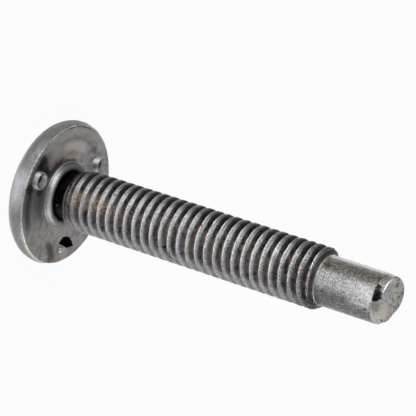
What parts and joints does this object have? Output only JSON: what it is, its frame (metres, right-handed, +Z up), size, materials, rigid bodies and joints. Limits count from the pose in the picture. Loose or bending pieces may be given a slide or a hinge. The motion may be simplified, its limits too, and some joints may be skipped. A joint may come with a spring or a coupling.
{
  "type": "weld screw",
  "caption": "Steel weld screw with a round pan head, welding points under it, a coarse metric thread and a plain pilot end",
  "frame": {"origin": "middle of the flat back of the head, on the surface the screw stands on", "axes": "+Z up along the shank, from the back of the head to the tip; +X towards the torn-out welding point, +Y across"},
  "size_m": [0.014, 0.014, 0.038],
  "materials": {
    "steel": "plain dark oily steel, worn, with grime and a little rust in the thread"
  },
  "bodies": {
    "root": {"weld_screw": "steel"}
  },
  "joints": []
}
